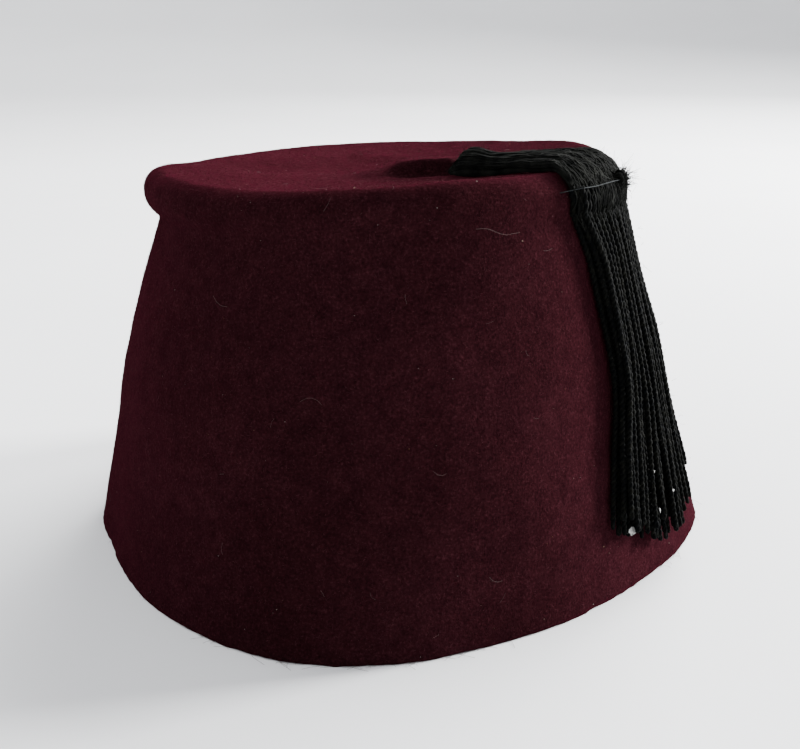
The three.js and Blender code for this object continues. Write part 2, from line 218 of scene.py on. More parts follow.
# Where the felt is out of round, by azimuth in degrees: the cut edge as a share of BASE_RADIUS,
# the roll of TIP_RADIUS, its crest of CROWN_HEIGHT, its overhang of ROLL_RADIUS, and the side's
# bulge of WALL_BULGE.
AZIMUTH, EDGE, ROLL, CREST, OVERHANG, BULGE = range(6)
OUT_OF_ROUND = np.array([
    (0.0, 1.0, 0.988, 1.021, 0.12, -0.5),
    (20.0, 0.965, 1.004, 1.033, 0.2, 0.3),
    (45.0, 0.965, 1.005, 1.015, 0.3, 0.8),
    (70.0, 0.985, 1.0, 1.003, 0.38, 1.0),
    (90.0, 0.985, 1.0, 0.997, 0.4, 1.0),
    (115.0, 0.98, 1.0, 0.987, 0.44, 1.0),
    (140.0, 0.965, 1.0, 0.978, 0.52, 1.0),
    (160.0, 0.965, 1.0, 0.976, 0.62, 1.0),
    (180.0, 1.0, 1.006, 0.99, 0.72, 1.1),
    (200.0, 0.95, 0.982, 0.988, 0.76, 1.1),
    (225.0, 0.962, 0.95, 0.986, 0.45, 1.0),
    (250.0, 0.99, 0.98, 0.996, 0.28, 0.9),
    (270.0, 0.955, 1.0, 1.01, 0.22, 0.8),
    (290.0, 0.892, 1.0, 1.021, 0.16, 0.6),
    (320.0, 0.875, 0.98, 1.018, 0.14, -0.2),
    (340.0, 0.93, 0.966, 1.012, 0.1, -0.9),
])

# Folds of the tip, from one end of each to the other: places and widths as shares of TIP_RADIUS,
# and the rise as a share of FOLD_HEIGHT. A fold with "first" starts with that share of its rise.
TIP_FOLDS = [
    {"start": (0.11, -0.1), "end": (0.2, -0.1), "rise": 1.0, "near": 0.07, "far": 0.5},
    {"start": (0.0, -0.2), "end": (0.45, -0.24), "rise": -0.16, "near": 0.2, "far": 0.1},
    {"start": (-0.45, 0.15), "end": (-0.15, 0.25), "rise": -0.25, "near": 0.35, "far": 0.35},
]


def smooth_curve(t, a, b, c, d):
    """A cubic from b to c, whose slopes follow the neighbours a and d."""
    slope_b, slope_c = (c - a) / 2, (d - b) / 2
    return (
        (2 * t**3 - 3 * t**2 + 1) * b
        + (t**3 - 2 * t**2 + t) * slope_b
        + (3 * t**2 - 2 * t**3) * c
        + (t**3 - t**2) * slope_c
    )


def out_of_round(column, azimuth):
    """One column of OUT_OF_ROUND at any azimuth."""
    azimuth = np.mod(azimuth, 360.0)
    count = len(OUT_OF_ROUND)
    row = np.searchsorted(OUT_OF_ROUND[:, AZIMUTH], azimuth, side="right") - 1
    after = (row + 1) % count
    span = np.mod(OUT_OF_ROUND[after, AZIMUTH] - OUT_OF_ROUND[row, AZIMUTH], 360.0)
    t = (azimuth - OUT_OF_ROUND[row, AZIMUTH]) / span
    values = OUT_OF_ROUND[:, column]
    return smooth_curve(t, values[row - 1], values[row], values[after], values[(row + 2) % count])


def fold_height(x, y, folds=TIP_FOLDS):
    """How far the folds lift the tip at a place measured from its middle."""
    height = np.zeros_like(x)
    for fold in folds:
        start = TIP_RADIUS * np.array(fold["start"])
        run = TIP_RADIUS * np.array(fold["end"]) - start
        share = np.clip(((x - start[0]) * run[0] + (y - start[1]) * run[1]) / (run @ run), 0, 1)
        off_x = x - start[0] - share * run[0]
        off_y = y - start[1] - share * run[1]
        off = np.hypot(off_x, off_y)
        to_back = (1 + off_y / (off + 1e-7)) / 2
        width = TIP_RADIUS * (fold["near"] + (fold["far"] - fold["near"]) * to_back**3)
        rise = fold["rise"] * np.minimum(fold.get("first", 1.0) + 2.5 * share, 1)
        height += FOLD_HEIGHT * rise * (1 - np.minimum(off / width, 1) ** 2) ** 2
    return height


def felt_profile(section, azimuth):
    """Radius and height of the felt's outside. section is 0 at the cut edge, 1 at the neck under
    the roll, 2 on the roll's crest and 3 in the middle of the tip."""
    crest = CROWN_HEIGHT * out_of_round(CREST, azimuth)
    crest_radius = TIP_RADIUS * out_of_round(ROLL, azimuth) - ROLL_RADIUS
    start = np.arccos(1 - out_of_round(OVERHANG, azimuth))
    neck_radius = crest_radius + ROLL_RADIUS * np.cos(start)
    neck_height = crest - ROLL_RADIUS - ROLL_RADIUS * np.sin(start)
    edge = BASE_RADIUS * out_of_round(EDGE, azimuth)
    up = np.clip(section, 0, 1)
    bulge = WALL_BULGE * out_of_round(BULGE, azimuth) * np.sin(np.pi * up**1.5)
    side = edge + (neck_radius - edge) * up + bulge, neck_height * up
    turn = -start + (np.pi / 2 + start) * np.clip(section - 1, 0, 1)
    roll = crest_radius + ROLL_RADIUS * np.cos(turn), crest - ROLL_RADIUS + ROLL_RADIUS * np.sin(turn)
    distance = crest_radius * np.clip(3 - section, 0, 1)
    middle = CROWN_HEIGHT - TIP_SAG
    inside = np.clip((crest_radius - distance) / ROLL_RADIUS, 0, 1)
    inside = inside**2 * (3 - 2 * inside)
    folds = fold_height(distance * np.cos(np.radians(azimuth)), distance * np.sin(np.radians(azimuth)))
    sunk = middle + (crest - middle) * (distance / crest_radius) ** DISH_POWER + folds * inside
    radius = np.where(section <= 1, side[0], np.where(section <= 2, roll[0], distance))
    height = np.where(section <= 1, side[1], np.where(section <= 2, roll[1], sunk))
    return radius, height


def felt_place(section, azimuth, lift, shift=0.0):
    """A place at a height above the felt's outside, in the hat's own frame."""
    section, azimuth, lift = np.broadcast_arrays(*[np.asarray(v, float) for v in (section, azimuth, lift)])
    radius, height = felt_profile(section, azimuth)
    inner = np.clip(section, 0.0, 1.99)
    r0, z0 = felt_profile(np.maximum(inner - 0.01, 0), azimuth)
    r1, z1 = felt_profile(inner + 0.01, azimuth)
    length = np.hypot(r1 - r0, z1 - z0)
    out = np.where(section == 0, 1.0, np.where(section >= 2, 0.0, (z1 - z0) / length))
    up = np.where(section == 0, 0.0, np.where(section >= 2, 1.0, (r0 - r1) / length))
    radius = radius + lift * out
    height = height + lift * up
    turn = np.radians(azimuth)
    x = radius * np.cos(turn) - LEAN * height / CROWN_HEIGHT
    return np.stack([x, radius * np.sin(turn) - shift, height], -1)


def grain_of(points, scale, seed):
    """Soft random values from -1 to 1 at a list of points, with so many cells a metre."""
    start = Vector((seed, 3.1 * seed, -seed))
    values = [noise.noise(Vector(point) * scale + start) for point in points.reshape(-1, 3)]
    return np.array(values).reshape(points.shape[:-1])


def uneven(points, grains):
    """Grains of several sizes together, each as its height, its cells a metre and its seed."""
    return sum(height * grain_of(points, scale, seed) for height, scale, seed in grains)


ROUND_STEPS = 300
TIP_STEPS = 92
ROLL_STEPS = 17
SIDE_STEPS = 64
tip_rows = 3 - np.linspace(0, 1, TIP_STEPS)[:-1] ** 0.9
roll_rows = 2 - np.linspace(0, 1, ROLL_STEPS)[:-1]
side_rows = 1 - np.linspace(0, 1, SIDE_STEPS)
outside_rows = np.concatenate([tip_rows, roll_rows, side_rows])
inside_rows = outside_rows[::-2]
azimuths = np.arange(ROUND_STEPS) * 360.0 / ROUND_STEPS
plain = felt_place(outside_rows[:, None], azimuths[None, :], 0.0)
hat_shift = (plain[..., 1].max() + plain[..., 1].min()) / 2
crown_low, crown_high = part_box("crown")
hat_shift -= (crown_low[1] + crown_high[1]) / 2


def relax(rows, rounds, keep):
    """Ease a grid of points along its rows, as steam eases felt, but keep the last few rows."""
    rows = rows.copy()
    for _ in range(rounds):
        rows[1:-keep] = (rows[:-keep - 1] + 2 * rows[1:-keep] + rows[2:rows.shape[0] - keep + 1]) / 4
    return rows


outside = felt_place(outside_rows[:, None], azimuths[None, :], 0.0, hat_shift)
# The buckle is sharper than the solid's: its wall stands steep, with a crease along its foot.
STEEP_FOLDS = [
    {"start": (0.0, -0.078), "end": (0.265, -0.072), "rise": 0.95, "near": 0.04, "far": 0.48, "first": 0.2},
    {"start": (0.05, -0.108), "end": (0.27, -0.112), "rise": -0.26, "near": 0.05, "far": 0.05, "first": 0.3},
    *TIP_FOLDS[1:],
]
FOLDS_END = 0.8
FOLDS_FADE = 0.3
TIP_LEVEL = 0.09


def steepened(points):
    """How much higher the real fold is than the solid's, under or over points of the tip."""
    x = points[..., 0] + LEAN * points[..., 2] / CROWN_HEIGHT
    y = points[..., 1] + hat_shift
    inner = np.clip((TIP_RADIUS * FOLDS_END - np.hypot(x, y)) / (TIP_RADIUS * FOLDS_FADE), 0, 1)
    on_tip = points[..., 2] > TIP_LEVEL
    return (fold_height(x, y, STEEP_FOLDS) - fold_height(x, y)) * inner * on_tip


outside[..., 2] += steepened(outside) * (outside_rows[:, None] > 2)
outside = relax(outside, 4, 2)
inside = felt_place(inside_rows[:, None], azimuths[None, :], -FELT_THICKNESS, hat_shift)
inside[..., 2] += steepened(inside) * (inside_rows[:, None] > 2)
MIDDLE_HEIGHT = 0.05
outward = outside - np.array([0, 0, MIDDLE_HEIGHT])
outward /= np.linalg.norm(outward, axis=-1, keepdims=True)
FELT_LUMPS = [(0.0005, 38.0, 1.0), (0.00022, 130.0, 2.0), (0.00009, 420.0, 3.0)]
outside += outward * uneven(outside, FELT_LUMPS)[..., None]
# The raw edge is not quite level, and a little ragged from the shears.
EDGE_RAGS = [(0.00028, 480.0, 4.0), (0.0002, 120.0, 5.0)]
EDGE_RISES = 0.0003
EDGE_SCALE = 300.0
ragged = uneven(outside[-1], EDGE_RAGS)
fade = np.array([0.25, 0.6, 1.0])[:, None]
outside[-3:] += outward[-3:] * (ragged[None, :] * fade)[..., None]
for edge_ring, height, seed in ((outside[-1], 0.0003, 6.0), (inside[0], 0.0004, 7.0)):
    rises = height + EDGE_RISES * grain_of(edge_ring, EDGE_SCALE, seed)
    edge_ring[:, 2] = np.maximum(rises, 0.0)
foot = (outside[-1] + inside[0]) / 2
foot[:, 2] = 0.0
shell = np.concatenate([outside, foot[None], inside])
tip_outside = outside[0].mean(0)
tip_inside = inside[-1].mean(0)
shell = shell[1:-1]
crown_points = np.concatenate([shell.reshape(-1, 3), [tip_outside], [tip_inside]])


def ring_faces(rows, steps):
    """Quads between the rings of a grid, as (low, low next, high next, high)."""
    low = (np.arange(rows - 1)[:, None] * steps + np.arange(steps)[None, :]).ravel()
    turn = (np.arange(rows - 1)[:, None] * steps + (np.arange(steps)[None, :] + 1) % steps).ravel()
    return np.stack([low, low + steps, turn + steps, turn], 1)


first = np.arange(ROUND_STEPS)
then = (first + 1) % ROUND_STEPS
last_ring = (len(shell) - 1) * ROUND_STEPS
top_fan = np.stack([np.full(ROUND_STEPS, len(crown_points) - 2), first, then], 1)
under_middle = np.full(ROUND_STEPS, len(crown_points) - 1)
under_fan = np.stack([under_middle, last_ring + then, last_ring + first], 1)
felt_crown = make_piece("felt_crown", crown_points, [ring_faces(len(shell), ROUND_STEPS), top_fan, under_fan])
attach(felt_crown, "root")
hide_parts("crown")

# Wool felt is dull face-on and pale where its nap is seen from the side. The dye has taken a
# little unevenly, and single wool fibres are lighter or darker than the rest.
felt_material, tree, shader = new_material("maroon_wool_felt", 0.95, 0.0)
dye = add_ramp(tree, add_noise(tree, 22.0, 4.0), [
    (0.35, (0.0118, 0.0031, 0.0041)),
    (0.68, (0.0163, 0.0042, 0.0057)),
])
wool = add_ramp(tree, add_noise(tree, 1500.0, 4.0, 0.7), [
    (0.3, (0.42, 0.4, 0.42)),
    (0.55, (1, 1, 1)),
    (0.74, (2.1, 2.3, 2.2)),
])
matted = add_ramp(tree, add_noise(tree, 240.0, 3.0), [
    (0.3, (0.8, 0.8, 0.82)),
    (0.7, (1.18, 1.16, 1.15)),
])
colour = add_mix(tree, "MULTIPLY", 1.0, add_mix(tree, "MULTIPLY", 1.0, dye, matted), wool)
tree.links.new(colour, shader.inputs["Base Color"])
shader.inputs["Sheen Weight"].default_value = 0.055
shader.inputs["Sheen Roughness"].default_value = 0.38
shader.inputs["Sheen Tint"].default_value = (0.52, 0.045, 0.125, 1.0)
coarse = add_bump(tree, shader, add_noise(tree, 520.0, 4.0, 0.7), 0.5, 0.0006)
add_bump(tree, shader, add_noise(tree, 2200.0, 3.0, 0.7), 0.6, 0.0003, coarse)
felt_crown.data.materials.append(felt_material)

# The tassel: a bunch of black silk. From a rounded end on the tip to the binding its floss is
# loose and matted; below the binding it hangs as cords of two plies twisted together.
TASSEL_AZIMUTH = 329.0
BINDING_ANGLE = 18.0
FLOSS_THICKNESS = 0.0065
FLOSS_START = 0.38
SKIRT_LENGTH = 0.095
SEAT_GAP = 0.0006

# Where the tassel lies: azimuth of its middle in degrees, half its width as a share of
# TIP_RADIUS, and its thickness as a share of its full one. The floss goes from 0, its start on
# the tip, over the roll's crest at 1 to the binding at 2; the skirt by its share of the way down.
# LOCK_ENDS says how far down the cords reach, as a share of SKIRT_LENGTH, from front to back.
FLOSS_LIE = np.array([
    (0.0, 344.0, 0.035, 0.4),
    (0.06, 341.4, 0.065, 0.85),
    (0.15, 338.9, 0.072, 0.95),
    (0.35, 334.7, 0.078, 0.78),
    (0.65, 330.7, 0.113, 0.72),
    (0.85, 329.0, 0.16, 0.66),
    (1.0, 328.0, 0.195, 0.58),
    (1.5, 328.8, 0.24, 0.5),
    (2.0, 331.0, 0.285, 0.45),
])
SKIRT_LIE = np.array([
    (0.0, 331.8, 0.313, 0.75),
    (0.2, 335.7, 0.285, 1.42),
    (0.5, 337.3, 0.292, 1.22),
    (0.75, 333.6, 0.318, 0.95),
    (1.0, 331.2, 0.368, 0.85),
])
LOCK_ENDS = np.array([
    (-1.0, 0.89),
    (-0.6, 0.93),
    (-0.2, 0.978),
    (0.2, 0.99),
    (0.6, 0.945),
    (1.0, 0.925),
])


def lie_of(table, column, value):
    """One column of a table of rows, anywhere along it."""
    value = np.clip(value, table[0, 0], table[-1, 0])
    row = np.clip(np.searchsorted(table[:, 0], value, side="right") - 1, 0, len(table) - 2)
    t = (value - table[row, 0]) / (table[row + 1, 0] - table[row, 0])
    values = table[:, column]
    before = values[np.maximum(row - 1, 0)]
    after = values[np.minimum(row + 2, len(table) - 1)]
    return smooth_curve(t, before, values[row], values[row + 1], after)


roll_start = np.arccos(1 - out_of_round(OVERHANG, TASSEL_AZIMUTH))
BINDING_SECTION = 2 - np.radians(90 - BINDING_ANGLE) / (np.pi / 2 + roll_start)
down_sections = np.linspace(2.0, 0.0, 801)
down_radii, down_heights = felt_profile(down_sections, np.full_like(down_sections, TASSEL_AZIMUTH))
down_steps = np.hypot(np.diff(down_radii), np.diff(down_heights))
down_lengths = np.concatenate([[0], np.cumsum(down_steps)])
down_lengths -= np.interp(-BINDING_SECTION, -down_sections, down_lengths)


def tassel_place(along, across, lift):
    """A place in the tassel. along is metres below the binding, measured on the felt, and less
    than 0 above it; across is metres towards the back of the hat, and lift metres off the felt."""
    along, across, lift = np.broadcast_arrays(*[np.asarray(v, float) for v in (along, across, lift)])
    section = np.interp(along, down_lengths, down_sections)
    azimuth = lie_of(SKIRT_LIE, 1, np.maximum(along, 0) / SKIRT_LENGTH)
    radius = felt_profile(section, azimuth)[0]
    return felt_place(section, azimuth + np.degrees(across / radius), lift, hat_shift)


CAP_REACH = 0.7


def tube(path, radii, sides):
    """A closed round tube along a path, with a radius at each point; returns points and faces.
    Its ends bulge by CAP_REACH of their radius."""
    count = len(path)
    radii = np.broadcast_to(radii, count)
    ahead = np.gradient(path, axis=0)
    ahead /= np.linalg.norm(ahead, axis=1, keepdims=True) + 1e-12
    side = np.cross(ahead, [0.31, -0.57, 0.76])
    side /= np.linalg.norm(side, axis=1, keepdims=True) + 1e-12
    up = np.cross(side, ahead)
    turn = 2 * np.pi * np.arange(sides) / sides
    ring = np.cos(turn)[None, :, None] * side[:, None, :] + np.sin(turn)[None, :, None] * up[:, None, :]
    points = (path[:, None, :] + radii[:, None, None] * ring).reshape(-1, 3)
    first_tip = path[:1] - ahead[:1] * radii[0] * CAP_REACH
    last_tip = path[-1:] + ahead[-1:] * radii[-1] * CAP_REACH
    points = np.concatenate([points, first_tip, last_tip])
    here = np.arange(sides)
    then = (here + 1) % sides
    end = (count - 1) * sides
    cap = np.stack([np.full(sides, count * sides), here, then], 1)
    last = np.stack([np.full(sides, count * sides + 1), end + then, end + here], 1)
    return points, ring_faces(count, sides), np.concatenate([cap, last])


def make_tubes(name, tubes):
    """Put many tubes into one piece."""
    points, quads, caps, start = [], [], [], 0
    for tube_points, tube_quads, tube_caps in tubes:
        points.append(tube_points)
        quads.append(tube_quads + start)
        caps.append(tube_caps + start)
        start += len(tube_points)
    piece = make_piece(name, np.concatenate(points), [np.concatenate(quads), np.concatenate(caps)])
    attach(piece, "root")
    return piece


# Each cord is one length of twisted ply, folded at its lower end so that the two halves twist
# round each other and end in a tiny loop.
CORD_LAYERS = [
    {"name": "tassel_cords_under", "count": 20, "lift": 0.0011, "reach": 0.96, "scatter": 0.02},
    {"name": "tassel_cords_middle", "count": 20, "lift": 0.0028, "reach": 0.95, "scatter": 0.025},
    {"name": "tassel_cords_over", "count": 17, "lift": 0.0045, "reach": 0.93, "scatter": 0.035},
]
PLY_RADIUS = 0.00049
PLY_OFFSET = 0.0003
TWIST_PITCH = 0.0031
CORD_SIDES = 5
POINTS_A_TURN = 8
CORD_STARTS = -0.0004
CORD_PROUD = (-0.0004, 0.0005)
PITCH_SPREAD = (0.93, 1.08)
END_STEPS = [-0.045, -0.02, 0.0, 0.012, 0.02]
END_SPREAD = 0.008
LOOP_OPENS = (0.0, 1.6)
LOOP_REACH = (0.0006, 0.0016)

rng = np.random.default_rng(71)
silk_pieces = []
for layer_number, layer in enumerate(CORD_LAYERS):
    tubes = []
    for cord in range(layer["count"]):
        place = layer["reach"] * ((2 * cord + 1) / layer["count"] - 1)
        place += layer["scatter"] * rng.uniform(-1, 1)
        proud = rng.uniform(*CORD_PROUD)
        end_share = lie_of(LOCK_ENDS, 1, place) + rng.choice(END_STEPS)
        end_share += rng.uniform(-END_SPREAD, END_SPREAD)
        end = SKIRT_LENGTH * end_share
        pitch = TWIST_PITCH * rng.uniform(*PITCH_SPREAD)
        steps = int(end / pitch * POINTS_A_TURN)
        along = np.linspace(CORD_STARTS, end, steps)
        share = along / SKIRT_LENGTH
        phase = rng.uniform(0, 6.28, 4)
        free = np.clip(share * 2.2, 0, 1)
        sway = 0.0007 * np.sin(2 * np.pi * share * 1.1 + 2.2 * place + layer_number) * free
        sway += 0.0003 * np.sin(2 * np.pi * share * rng.uniform(0.8, 2.0) + phase[0]) * free
        sway += 0.00009 * np.sin(2 * np.pi * share * rng.uniform(3, 5) + phase[1]) * free
        sway += rng.normal(0, 0.0011) * np.clip(share - 0.7, 0, 1) / 0.3
        half = TIP_RADIUS * lie_of(SKIRT_LIE, 2, np.clip(share, 0, 1))
        across = half * place + sway
        thick = lie_of(SKIRT_LIE, 3, np.clip(share, 0, 1))
        thin = 1 - 0.35 * max(place, 0.0) ** 2
        raised = layer["lift"] * thin * (0.82 + 0.18 * thick) * (0.72 + 0.28 * free)
        lift = SEAT_GAP / 2 + raised + proud * (0.3 + 0.7 * free)
        lift = lift + 0.00022 * np.sin(2 * np.pi * share * rng.uniform(1.5, 3) + phase[2]) * free
        centre = relax(tassel_place(along, across, lift), 1, 1)
        ahead = np.gradient(centre, axis=0)
        ahead /= np.linalg.norm(ahead, axis=1, keepdims=True)
        out = tassel_place(along, across, lift + 0.001) - centre
        out -= ahead * (out * ahead).sum(1, keepdims=True)
        out /= np.linalg.norm(out, axis=1, keepdims=True)
        beside = np.cross(ahead, out)
        turn = 2 * np.pi * along / pitch + phase[3]
        radial = np.cos(turn)[:, None] * out + np.sin(turn)[:, None] * beside
        down_ply = centre + PLY_OFFSET * radial
        up_ply = centre - PLY_OFFSET * radial
        bend = np.linspace(0, np.pi, 7)[1:-1, None]
        open_by = 1 + rng.uniform(*LOOP_OPENS) * np.sin(bend)
        loop = centre[-1] + PLY_OFFSET * open_by * np.cos(bend) * radial[-1]
        loop += rng.uniform(*LOOP_REACH) * np.sin(bend) * ahead[-1]
        path = np.concatenate([down_ply, loop, up_ply[::-1]])
        tubes.append(tube(path, PLY_RADIUS, CORD_SIDES))
    cords = make_tubes(layer["name"], tubes)
    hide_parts("tassel_skirt")
    silk_pieces.append(cords)

# The floss: the tassel's loose silk above the binding, laid over the tip, where no stitch shows. It
# has matted into soft ropes: a body of packed floss that carries single strands.
FLOSS_ROPES = 3
ROPE_DEPTH = 0.2
SHOULDER = 0.0011
HEAD_SHARE = 0.22
HEAD_LEAN = 0.0036
HEAD_BACK = 0.0012
HEAD_DROP = 0.0006


def floss_place(place, across_share, height_share, outset=0.0):
    """A place in the floss: place from 0, its start on the tip, to 2, the binding; across_share
    from -1, its front, to 1, its back; height_share from 0, at the felt, to 1."""
    place, across_share, height_share = np.broadcast_arrays(
        *[np.asarray(v, float) for v in (place, across_share, height_share)]
    )
    on_tip = 3 - FLOSS_START - (1 - FLOSS_START) * place
    on_roll = 2 + (BINDING_SECTION - 2) * (place - 1)
    section = np.where(place < 1, on_tip, on_roll)
    half = TIP_RADIUS * lie_of(FLOSS_LIE, 2, place)
    thick = FLOSS_THICKNESS * lie_of(FLOSS_LIE, 3, place)
    rope = 1 - ROPE_DEPTH * np.sin(np.pi * FLOSS_ROPES * across_share) ** 2
    azimuth = lie_of(FLOSS_LIE, 1, place)
    radius = felt_profile(section, azimuth)[0]
    # Where it turns over the roll the bunch stands fuller towards the back.
    fuller = np.sin(np.pi * np.clip((place - 0.8) / 1.1, 0, 1)) * np.clip(0.4 + across_share, 0, 1)
    lift = SEAT_GAP / 2 + thick * height_share * rope + outset + SHOULDER * fuller * height_share
    points = felt_place(section, azimuth + np.degrees(half * across_share / radius), lift, hat_shift)
    points[..., 2] += steepened(points) * np.clip(1 - height_share, 0, 1)
    # Its head is a rounded leaf that leans over, so that its tip lies low and towards the left.
    low = np.clip(1 - height_share, 0, 1)
    head = np.clip(1 - place / HEAD_SHARE, 0, 1) ** 2
    points[..., 0] -= HEAD_LEAN * head * np.sqrt(low * (2 - low)) - HEAD_BACK * head
    points[..., 2] -= HEAD_DROP * head
    return points


def floss_top(across_share):
    """Height of the floss's rounded top, as a share, from its front at -1 to its back at 1."""
    return np.sqrt(1 - across_share**2) ** 0.6


def rounded_start(place, least):
    """How full the floss is near its rounded end on the tip, as a share."""
    near = np.clip(place / 0.1, 0, 1)
    return np.clip(np.sqrt(near * (2 - near)), least, 1)


FLOSS_STATIONS = 56
FLOSS_SIDES = 40
station = np.concatenate([np.linspace(0, 0.06, 9)[:-1], np.linspace(0.06, 1, FLOSS_STATIONS - 8)])
body_place = 2 * station
turn = 2 * np.pi * np.arange(FLOSS_SIDES) / FLOSS_SIDES
draw_in = rounded_start(body_place, 0.15)[:, None]
body_across = np.cos(turn)[None, :] * 0.93 * draw_in
body_height = np.clip(np.sin(turn), 0.0, 1)[None, :] ** 0.6 * 0.9 * draw_in + 0.02
floss_body_points = relax(floss_place(body_place[:, None], body_across, body_height), 1, 1)
ends = [floss_body_points[0].mean(0), floss_body_points[-1].mean(0)]
here = np.arange(FLOSS_SIDES)
then = (here + 1) % FLOSS_SIDES
tail_ring = (FLOSS_STATIONS - 1) * FLOSS_SIDES
cap = np.stack([np.full(FLOSS_SIDES, FLOSS_STATIONS * FLOSS_SIDES), here, then], 1)
last_middle = np.full(FLOSS_SIDES, FLOSS_STATIONS * FLOSS_SIDES + 1)
last = np.stack([last_middle, tail_ring + then, tail_ring + here], 1)
floss_body = make_piece(
    "floss_body",
    np.concatenate([floss_body_points.reshape(-1, 3), ends]),
    [ring_faces(FLOSS_STATIONS, FLOSS_SIDES), np.concatenate([cap, last])],
)
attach(floss_body, "root")
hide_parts("tassel_head")

STRAND_COUNT = 900
STRAND_REACH = 0.98
STRAND_RADIUS = (0.00011, 0.0002)
strands = []
for _ in range(STRAND_COUNT):
    side = STRAND_REACH * rng.uniform(-1, 1)
    begin = max(0.0, rng.normal(0.02, 0.03)) if rng.random() < 0.75 else rng.uniform(0.05, 1.0)
    finish = 2.0 + rng.uniform(-0.02, 0.05) if rng.random() < 0.8 else rng.uniform(1.2, 2.0)
    path_place = begin + (finish - begin) * np.linspace(0, 1, 22) ** 1.5
    phase = rng.uniform(0, 6.28, 3)
    wander = 0.16 * np.sin(path_place * rng.uniform(2, 5) + phase[0])
    wander += 0.06 * np.sin(path_place * rng.uniform(8, 14) + phase[1])
    mat = np.clip(side + wander * (1 - abs(side)), -0.99, 0.99)
    rounding = rounded_start(path_place, 0.2)
    outset = 0.0002 + 0.0008 * np.sin(path_place * rng.uniform(4, 12) + phase[2]) * rng.random() ** 1.5
    path = floss_place(path_place, mat * rounding, floss_top(mat) * rounding, outset)
    strands.append(tube(path, rng.uniform(*STRAND_RADIUS), 3))
floss_strands = make_tubes("floss_strands", strands)
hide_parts("tassel_head")

# Black silk: dyed filament, which has a soft sheen where it is twisted into cord. The floss is the
# same silk untwisted, duller where it has matted and gathered dust.
cord_material, tree, shader = new_material("black_silk_cord", 0.62, 0.006)
twist = add_ramp(tree, add_noise(tree, 700.0, 3.0), [
    (0.35, (0.0013, 0.0015, 0.0018)),
    (0.7, (0.0043, 0.0044, 0.0035)),
])
tree.links.new(twist, shader.inputs["Base Color"])
shader.inputs["Sheen Weight"].default_value = 0.003
shader.inputs["Sheen Roughness"].default_value = 0.4
add_bump(tree, shader, add_noise(tree, 3000.0, 2.0), 0.4, 0.0001)
for cords in silk_pieces:
    cords.data.materials.append(cord_material)
floss_material, tree, shader = new_material("matted_silk_floss", 0.75, 0.014)
matted = add_ramp(tree, add_noise(tree, 320.0, 4.0), [
    (0.35, (0.0022, 0.0024, 0.0023)),
    (0.72, (0.0105, 0.011, 0.0093)),
])
tree.links.new(matted, shader.inputs["Base Color"])
shader.inputs["Sheen Weight"].default_value = 0.006
shader.inputs["Sheen Roughness"].default_value = 0.4
add_bump(tree, shader, add_noise(tree, 1400.0, 4.0, 0.7), 0.5, 0.0003)
floss_body.data.materials.append(floss_material)
floss_strands.data.materials.append(floss_material)

# The nap: short wool ends that were raised from the felt when it was brushed. They lean all ways
# and catch the light, and come in two shades, as the dye took on some fibres less than on others.
crown_tree = BVHTree.FromPolygons(
    [tuple(point) for point in crown_points],
    [tuple(face) for face in ring_faces(len(shell), ROUND_STEPS).tolist()],
)
NAPS = [
    {
        "name": "felt_nap_dark", "count": 44000, "length": (0.0003, 0.0009), "width": 0.000035,
        "tones": ((0.010, 0.0016, 0.0028), (0.03, 0.004, 0.0075)),
    },
    {
        "name": "felt_nap_pale", "count": 30000, "length": (0.0004, 0.0013), "width": 0.000028,
        "tones": ((0.03, 0.006, 0.0095), (0.075, 0.026, 0.03)),
    },
]
NAP_STANDS = (0.12, 0.7)
NAP_ROOT = 0.00002
HAIR_BEND = 0.12
FLOOR_GAP = 0.00001
outer_cells = outside[1:]
cell_sides = outer_cells[1:] - outer_cells[:-1]
cell_rounds = np.roll(outer_cells, -1, axis=1) - outer_cells
cell_normals = np.cross(cell_rounds[:-1], cell_sides)
cell_areas = np.linalg.norm(cell_normals, axis=-1)
cell_normals /= -cell_areas[..., None] + 1e-15
# They point out of the felt, which is up in the middle of the tip.
if (cell_normals[-20].mean(0) @ np.array([0, 0, 1.0])) < -0.9 or (cell_normals[0, :, 2].mean() < 0):
    cell_normals = -cell_normals
cell_chances = np.cumsum(cell_areas.ravel())
cell_chances /= cell_chances[-1]


def on_felt(count):
    """Random places on the felt's outside, evenly spread, with the way out of the felt there."""
    cell = np.searchsorted(cell_chances, rng.random(count))
    row, column = np.divmod(cell, ROUND_STEPS)
    u, v = rng.random((2, count, 1))
    beside = (column + 1) % ROUND_STEPS
    points = (
        outer_cells[row, column] * (1 - u) * (1 - v)
        + outer_cells[row, beside] * u * (1 - v)
        + outer_cells[row + 1, column] * (1 - u) * v
        + outer_cells[row + 1, beside] * u * v
    )
    return points, cell_normals[row, column]


def spikes(name, roots, ways, lengths, width):
    """Thin pointed hairs, each a slender closed wedge."""
    count = len(roots)
    ways = ways / np.linalg.norm(ways, axis=1, keepdims=True)
    side = np.cross(ways, rng.normal(size=(count, 3)))
    side /= np.linalg.norm(side, axis=1, keepdims=True)
    up = np.cross(ways, side)
    bend = rng.normal(0, HAIR_BEND, (count, 3)) * lengths[:, None]
    points = np.stack([
        roots + side * width,
        roots - side * width * 0.5 + up * width * 0.87,
        roots - side * width * 0.5 - up * width * 0.87,
        roots + ways * lengths[:, None] + bend,
    ], 1)
    points[..., 2] = np.maximum(points[..., 2], FLOOR_GAP)
    start = 4 * np.arange(count)[:, None]
    corners = np.array([[0, 2, 1], [0, 1, 3], [1, 2, 3], [2, 0, 3]])
    faces = (start[:, None, :] + corners[None]).reshape(-1, 3)
    return make_piece(name, points.reshape(-1, 3), [faces])


